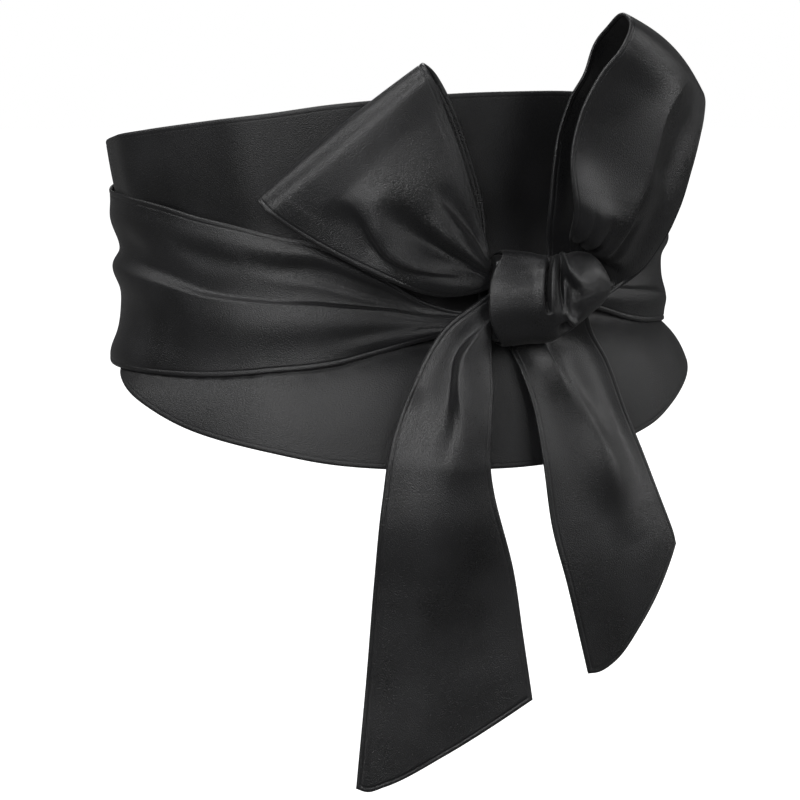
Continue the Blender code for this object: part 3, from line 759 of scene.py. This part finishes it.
# Tails of the bow
# The two loose ends hang from the knot, widening as their pleats open. Each is cut on the slant at the
# foot, with rounded corners, and the seam's fine groove runs round the foot as well.
TAIL_LEFT = table(
    STRIP,
    (0.00, -25.6, 0.4, 9, -26.1, -16, 8, 0.2),
    (0.04, -30.7, -3.0, 11, -25.9, -22, 9.5, 0.6),
    (0.10, -42.2, -11.5, 14.5, -25.5, -32, 13, 1.8),
    (0.155, -49.5, -21, 16.5, -25, -42, 15.5, 3.0),
    (0.23, -57, -36, 18, -25, -54, 17, 3.8),
    (0.32, -65, -57, 19, -25.3, -66, 18, 4.2),
    (0.45, -69.6, -84.4, 17.5, -23.5, -81, 18, 4.4),
    (0.62, -73, -119, 15, -15.7, -112, 16, 4.4),
    (0.80, -76.3, -160, 14, -11.3, -141, 15, 4.0),
    (1.00, -80.5, -204, 14, -7.3, -168, 14, 3.0),
)
TAIL_LEFT_FOLDS = table(
    FOLD,
    (0.00, 0.60, 0.34, 0.36, 0.13, 0.18, -0.4, -0.8, 0.0, 1.0),
)
TAIL_LEFT_CREASES = (
    # the pleat that overlaps from the right, and the hollow beside it
    crease(
        (0.0, 0.61, 0.6, 5, 0.4), (0.05, 0.505, 0.7, 14, 1.2), (0.10, 0.42, 0.8, 26, 1.8),
        (0.138, 0.381, 0.8, 48, 2.4), (0.186, 0.446, 0.9, 44, 2.9), (0.23, 0.515, 1.6, 24, 3.1),
        (0.277, 0.583, 3.2, 10, 3.0), (0.36, 0.64, 7, 4, 2.0), (0.48, 0.68, 10, 2, 0),
    ),
    crease(
        (0.05, 0.49, 4, 0.2, 0), (0.10, 0.40, 9, 0.12, -2.0), (0.138, 0.36, 11, 0.1, -2.8),
        (0.186, 0.425, 12, 0.1, -3.0), (0.23, 0.49, 12, 0.2, -2.4), (0.30, 0.55, 12, 0.4, -1.0),
        (0.38, 0.6, 12, 0.8, 0),
    ),
    # the full band to the right of the pleat
    crease(
        (0.06, 0.85, 12, 1, 0), (0.16, 0.85, 16, 1, 1.2), (0.30, 0.84, 18, 1, 1.8),
        (0.45, 0.84, 18, 1, 1.2), (0.60, 0.84, 18, 1, 0),
    ),
    # a small pocket by the left edge
    crease(
        (0.22, 0.12, 4, 1, 0), (0.27, 0.13, 5, 1, -1.4), (0.31, 0.15, 6, 1, -1.2),
        (0.38, 0.17, 7, 1, 0),
    ),
    # the swell below, and the long soft waves under it
    crease(
        (0.24, 0.36, 18, 1, 0), (0.38, 0.36, 26, 1, 2.6), (0.50, 0.38, 34, 1, 4.4),
        (0.64, 0.40, 36, 1, 2.4), (0.84, 0.4, 36, 1, 0),
    ),
    crease((0.50, 0.80, 10, 1, 0), (0.66, 0.78, 12, 1, -1.2), (0.90, 0.80, 14, 1, 0)),
)
TAIL_RIGHT = table(
    STRIP,
    (0.00, -15, -10, -13.3, 15.5, -7, -15.4, -0.3),
    (0.07, -17.1, -22.5, -10.5, 18.5, -18.2, -22, 0.3),
    (0.14, -12.8, -33, -5.5, 24.7, -30, -27, 1.5),
    (0.25, -7.8, -47, -3, 32.2, -50, -30, 2.5),
    (0.40, -3.5, -69, 0, 40, -69, -32, 3.5),
    (0.58, 0.4, -97, 0, 47.2, -88, -34, 4.0),
    (0.78, 7.2, -123, -2, 53, -103, -36, 4.0),
    (1.00, 16, -160, -7, 55, -110, -36, 2.5),
)
TAIL_RIGHT_FOLDS = table(
    FOLD,
    (0.00, 0.75, 0.42, 0.60, 0.09, 0.13, 0.0, 3.4, 0.0, 1.2),
    (0.05, 0.60, 0.18, 0.24, 0.11, 0.14, 0.0, -2.0, 0.0, 1.0),
    (0.05, 0.60, 0.84, 0.86, 0.11, 0.12, 0.0, -2.2, 0.0, 1.0),
)
TAIL_RIGHT_CREASES = (
    crease(
        (0.04, 0.42, 5, 0.3, 0), (0.08, 0.38, 6, 0.2, 1.6), (0.12, 0.345, 6, 0.2, 2.2),
        (0.18, 0.345, 7, 0.3, 1.8), (0.25, 0.37, 8, 0.5, 0.8), (0.32, 0.4, 8, 0.8, 0),
    ),
    crease(
        (0.10, 0.50, 4, 1, 0), (0.18, 0.52, 5, 1, -1.6), (0.28, 0.55, 6, 1, -1.2),
        (0.42, 0.58, 8, 1, 0),
    ),
    crease((0.30, 0.55, 9, 1, 0), (0.45, 0.52, 12, 1, 1.4), (0.62, 0.5, 14, 1, 0)),
)
FOOT_LEFT = table("v past", (0, 1.5), (0.06, 5.0), (0.16, 6.4), (0.5, 5.2), (0.8, 2.4), (1, 0))
FOOT_RIGHT = table(
    "v past", (0, 1), (0.08, 5.0), (0.22, 8.6), (0.5, 8.4), (0.8, 5.0), (0.94, 1.8), (1, 0)
)

tail_left = cloth_shell(
    "bow_tail_left",
    strip_face(
        TAIL_LEFT, TAIL_LEFT_FOLDS, TAIL_LEFT_CREASES, -1, along=230, over=110, foot=FOOT_LEFT
    ),
    -1, TIE_THICK, ends=(False, True),
)
finished(tail_left, bow_satin, "tail_left")
tail_right = cloth_shell(
    "bow_tail_right",
    strip_face(
        TAIL_RIGHT, TAIL_RIGHT_FOLDS, TAIL_RIGHT_CREASES, -1, along=190, over=100, foot=FOOT_RIGHT
    ),
    -1, TIE_THICK, ends=(False, True),
)
finished(tail_right, bow_satin, "tail_right")

# Knot
# The right tie is pulled once round the crossing and up through itself, so its band is smooth and full
# on the left and bunches into tight pleats on the right. Inside it are the gathered layers of both ties.
KNOT_TURN = math.radians(-20.0)
KNOT_ROUND = 2.5
KNOT_THICK = 1.8
KNOT_LEFT_TRIM = 7.5
# The band's edges have their rounded turn, and no seam beside it
KNOT_EDGE = EDGE[:7]
KNOT = table(
    "along half_height half_depth up out",
    (-28.2, 20.2, 12.2, -2.5, 0), (-23, 21.3, 13.2, -2.5, 0), (-10, 21.3, 13.6, -2.6, 0),
    (0, 20.3, 13.2, -2, 0), (6, 17.5, 12.4, -0.6, 0), (12, 15, 11.5, 1.9, -0.3),
    (17, 12, 9.6, 3.2, -0.8), (20.8, 8.4, 7.4, 2.6, -1.8), (22.8, 5.6, 5.6, 2.2, -2.4),
    (24.2, 3.2, 3.4, 2, -2.8),
)
KNOT_CREASES = (
    # the groove that ends the full left side
    crease(
        (0.20, 0.440, 0.6, 1, 0), (0.26, 0.441, 0.7, 1.1, -3.0), (0.34, 0.445, 0.6, 1.1, -4.4),
        (0.43, 0.449, 0.6, 1.1, -4.4), (0.50, 0.454, 0.6, 1.1, -4.0), (0.52, 0.460, 0.6, 1.2, -2.4),
        (0.535, 0.470, 0.6, 1.2, 0),
    ),
    crease(
        (0.22, 0.400, 3, 0.4, 0), (0.32, 0.410, 3, 0.4, 1.0), (0.50, 0.420, 2, 0.6, 0.9),
        (0.56, 0.440, 2, 1, 0),
    ),
    # the narrow fold between the grooves, which turns back on itself at its foot
    crease(
        (0.22, 0.490, 1.8, 1, 0), (0.29, 0.492, 1.7, 1, 1.4), (0.40, 0.490, 1.6, 1, 1.5),
        (0.51, 0.496, 1.7, 1, 1.8), (0.545, 0.505, 1.8, 1, 0.9), (0.57, 0.510, 2, 1, 0),
    ),
    crease(
        (0.31, 0.530, 0.5, 1, 0), (0.36, 0.545, 0.7, 1.2, -2.6), (0.43, 0.562, 0.8, 1.4, -4.0),
        (0.49, 0.574, 0.8, 1.4, -3.6), (0.52, 0.582, 0.7, 1.2, -1.8), (0.55, 0.585, 0.7, 1, 0),
    ),
    # the lip that overlaps it from the right, and the hollow between them
    crease(
        (0.22, 0.525, 0.8, 3, 0), (0.28, 0.535, 0.7, 4, 1.8), (0.36, 0.568, 0.7, 5, 2.4),
        (0.41, 0.608, 0.7, 5, 2.6), (0.45, 0.658, 0.8, 4, 2.2), (0.486, 0.715, 1.2, 2.4, 1.2),
        (0.53, 0.760, 2, 1.5, 0),
    ),
    crease(
        (0.36, 0.540, 0.8, 1, 0), (0.42, 0.585, 1.6, 1, -2.0), (0.48, 0.640, 2.6, 1, -2.8),
        (0.56, 0.660, 2.8, 1, -2.6), (0.64, 0.660, 2.6, 1, 0),
    ),
    crease(
        (0.50, 0.585, 1.0, 1, 0), (0.56, 0.612, 1.1, 1, 1.8), (0.61, 0.640, 1.2, 1, 2.0),
        (0.67, 0.670, 1.6, 1, 0),
    ),
    # the small dark hollow at its foot
    crease(
        (0.575, 0.560, 2.0, 1, 0), (0.61, 0.572, 2.2, 1, -3.4), (0.65, 0.577, 2.2, 1, -3.0),
        (0.69, 0.580, 3, 1, 0),
    ),
    # the saddle in its top, where the loops stand up, and its eased top and foot
    crease(
        (0.10, 0.460, 5, 1, 0), (0.20, 0.450, 6, 1.2, -2.2), (0.27, 0.440, 6, 1.2, -2.8),
        (0.34, 0.440, 5, 1.2, -1.2), (0.42, 0.440, 4, 1, 0),
    ),
    crease((0.10, 0.16, 16, 1, 0), (0.25, 0.18, 16, 1, -1.8), (0.36, 0.18, 16, 1, 0)),
    crease((0.60, 0.25, 18, 1, 0), (0.74, 0.25, 18, 1, -2.4), (0.88, 0.25, 16, 1, 0)),
    # its rounded upper front, and the flatter hollow below
    crease(
        (0.26, 0.22, 15, 1, 0), (0.36, 0.22, 15, 1, -2.6), (0.43, 0.22, 14, 1, -1.0),
        (0.50, 0.22, 12, 1, 0.4), (0.58, 0.22, 11, 1, -1.2), (0.66, 0.22, 11, 1, -1.4),
        (0.76, 0.22, 12, 1, 0),
    ),
    # fine pleats round the back
    crease((0.0, 0.30, 2, 1, -1.2), (0.10, 0.31, 2, 1, -1.0), (0.20, 0.33, 2, 1, 0)),
    crease((0.80, 0.58, 2, 1, 0), (0.90, 0.60, 2, 1, -1.4), (1.0, 0.60, 2, 1, -1.4)),
)
KNOT_CORE_ROOM = table(
    "along gap", (-26, 0.9), (-20, 1.6), (-13, 3.4), (-6, 5.6), (9, 5.6), (15, 2.6), (20, 0.8), (24, 0.6)
)


def knot_section(turn, along, inwards):
    """A point of the knot's section at a turn round it, set inwards from the band's outer face."""
    ease = 2 / KNOT_ROUND
    up_share = np.sign(np.cos(turn)) * np.abs(np.cos(turn)) ** ease
    out_share = np.sign(np.sin(turn)) * np.abs(np.sin(turn)) ** ease
    up = read(KNOT, "up", along) + (read(KNOT, "half_height", along) - inwards) * up_share
    out = read(KNOT, "out", along) + (read(KNOT, "half_depth", along) - inwards) * out_share
    return from_bow_frame(np.broadcast_to(along, up.shape), up, out, KNOT_TURN)


def knot_face(around, over):
    """The inner face of the knot's band, from the back over the top to the front and under."""
    t = np.linspace(0, 1, around, endpoint=False)[:, None]
    turn = 2 * math.pi * (t - 0.25)
    left = KNOT["along"][0] + KNOT_LEFT_TRIM * np.cos(turn) ** 2
    size = KNOT["along"][-1] - left
    v = spread(size, over, KNOT_EDGE)
    rise = crease_heights(KNOT_CREASES, t, v, size)
    plain = knot_section(turn, left + size * v, KNOT_THICK)
    return knot_section(turn, left + size * v, KNOT_THICK - rise), grid_normals(plain, ring=True)


knot = cloth_shell(
    "knot_wrap", knot_face(around=290, over=134), -1, KNOT_THICK, groove=0.0, ring=True
)
finished(knot, bow_satin, "knot_band")


def gathered_middle(name, around, stations):
    """The gathered layers inside the knot, as one rounded solid that is pleated round its sides."""
    turn = np.linspace(0, 2 * math.pi, around, endpoint=False)
    rings = []
    for along, share in stations:
        place = np.full(around, along)
        wall = knot_section(turn, place, KNOT_THICK + read(KNOT_CORE_ROOM, "gap", place))
        middle = from_bow_frame(place, read(KNOT, "up", place), read(KNOT, "out", place), KNOT_TURN)
        pleat = 0.95 + 0.03 * np.cos(6 * turn) + 0.02 * np.cos(11 * turn + 1.3)
        rings.append(middle + (wall - middle) * share * pleat[:, None])
    count = len(rings)
    i = np.arange(count - 1)[:, None]
    j = np.arange(around)[None, :]
    k = (j + 1) % around
    quads = np.stack(
        [i * around + j, i * around + k, (i + 1) * around + k, (i + 1) * around + j], axis=-1
    ).reshape(-1, 4)
    caps = [tuple(range(around))[::-1], tuple(range((count - 1) * around, count * around))]
    mesh = bpy.data.meshes.new(name)
    mesh.from_pydata((np.concatenate(rings) * MM).tolist(), [], quads.tolist() + caps)
    mesh.shade_smooth()
    piece = bpy.data.objects.new(name, mesh)
    bpy.context.scene.collection.objects.link(piece)
    return piece


middle = gathered_middle(
    "knot_middle", 96,
    ((-24.9, 0.9), (-24.5, 0.95), (-24.0, 0.98), (-22, 1), (-14, 1), (-4, 1), (5, 1), (13, 1), (18, 1),
     (21, 0.97), (22.2, 0.85), (22.8, 0.5)),
)
middle.data.materials.append(bow_satin)
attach(middle, "root")
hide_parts("knot_core")

# Floor, light and camera
# A plain pale floor lies just below the longer tail. The light comes mainly from soft boxes on the left
# and above, with weaker ones in front and on the right and two behind, in a dim room. The camera has
# the photograph's view.
FLOOR_RADIUS, FLOOR_GAP = 9, 0.0015
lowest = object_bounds()[0][2]


def floor_white(name):
    """A pale studio floor that throws little light back up at the sash."""
    material = bpy.data.materials.new(name)
    material.use_nodes = True
    tree = material.node_tree
    shader = tree.nodes["Principled BSDF"]
    path = add(tree, "LightPath")
    tone = add(tree, "MapRange", path.outputs["Is Camera Ray"], To_Min=0.08, To_Max=0.55)
    tree.links.new(tone.outputs[0], shader.inputs["Base Color"])
    glow = add(tree, "MapRange", path.outputs["Is Camera Ray"], To_Min=0.05, To_Max=1.1)
    tree.links.new(glow.outputs[0], shader.inputs["Emission Strength"])
    shader.inputs["Emission Color"].default_value = (1, 1, 1, 1)
    shader.inputs["Roughness"].default_value = 0.9
    shader.inputs["Specular IOR Level"].default_value = 0.0
    return material


floor_mesh = bpy.data.meshes.new("studio_floor")
ring = np.linspace(0, 2 * math.pi, 96, endpoint=False)
floor_mesh.from_pydata(
    [(FLOOR_RADIUS * math.cos(a), FLOOR_RADIUS * math.sin(a), 0) for a in ring], [],
    [tuple(range(len(ring)))],
)
floor = bpy.data.objects.new("studio_floor", floor_mesh)
floor.location = (0, 0, lowest - FLOOR_GAP)
floor_mesh.materials.append(floor_white("studio_white"))
bpy.context.scene.collection.objects.link(floor)
LIT_POINT = (0.0, -0.03, -0.03)


def soft_box(name, place, size, power):
    """A rectangular soft light that faces the sash, with its size in m and its power in watts."""
    data = bpy.data.lights.new(name, "AREA")
    data.shape = "RECTANGLE"
    data.size, data.size_y = size
    data.energy = power
    light = bpy.data.objects.new(name, data)
    way = (Vector(LIT_POINT) - Vector(place)).normalized()
    light.matrix_world = Matrix.Translation(place) @ way.to_track_quat("-Z", "Y").to_matrix().to_4x4()
    bpy.context.scene.collection.objects.link(light)


soft_box("left_front", (-1.22, -1.49, 0.59), (0.7, 0.7), 12)
soft_box("left_side", (-1.73, -0.95, 0.39), (0.7, 0.7), 5)
soft_box("left_high", (-0.91, -0.27, 1.74), (0.7, 0.7), 11)
soft_box("top", (-0.26, -0.48, 1.9), (0.7, 0.7), 3)
soft_box("front", (0.40, -1.92, 0.49), (0.7, 0.7), 4)
soft_box("right_front", (1.24, -1.5, 0.49), (0.7, 0.7), 3)
soft_box("right_side", (1.87, -0.53, 0.49), (0.7, 0.7), 5)
soft_box("back_right", (0.8, 1.3, 1.3), (1.0, 0.8), 9)
soft_box("back_left", (-1.25, 0.85, 1.26), (0.8, 0.8), 6)

world = bpy.data.worlds.new("studio")
world.use_nodes = True
room = world.node_tree
background = room.nodes["Background"]
background.inputs["Color"].default_value = (1, 1, 1, 1)
path = add(room, "LightPath")
seen = add(room, "MapRange", path.outputs["Is Camera Ray"], To_Min=0.05, To_Max=1.0)
room.links.new(seen.outputs[0], background.inputs["Strength"])
bpy.context.scene.world = world

VIEW_AZIMUTH, VIEW_HEIGHT = math.radians(-30), math.radians(6)
VIEW_DISTANCE = 1.6
PIXEL = 0.00044
PICTURE = 800
SENSOR = 36
CENTRE_PIXEL = (395.5, 275.0)
back = Vector((
    math.sin(VIEW_AZIMUTH) * math.cos(VIEW_HEIGHT), -math.cos(VIEW_AZIMUTH) * math.cos(VIEW_HEIGHT),
    math.sin(VIEW_HEIGHT),
))
right = Vector((math.cos(VIEW_AZIMUTH), math.sin(VIEW_AZIMUTH), 0))
up = back.cross(right)
target = (
    right * (PICTURE / 2 - CENTRE_PIXEL[0]) * PIXEL - up * (PICTURE / 2 - CENTRE_PIXEL[1]) * PIXEL
)
camera_data = bpy.data.cameras.new("photo_view")
camera_data.sensor_width = SENSOR
camera_data.lens = SENSOR * VIEW_DISTANCE / (PICTURE * PIXEL)
camera = bpy.data.objects.new("photo_view", camera_data)
camera.matrix_world = (
    Matrix.Translation(target + back * VIEW_DISTANCE) @ Matrix((right, up, back)).transposed().to_4x4()
)
bpy.context.scene.collection.objects.link(camera)
bpy.context.scene.camera = camera
bpy.context.scene.view_settings.view_transform = "Standard"
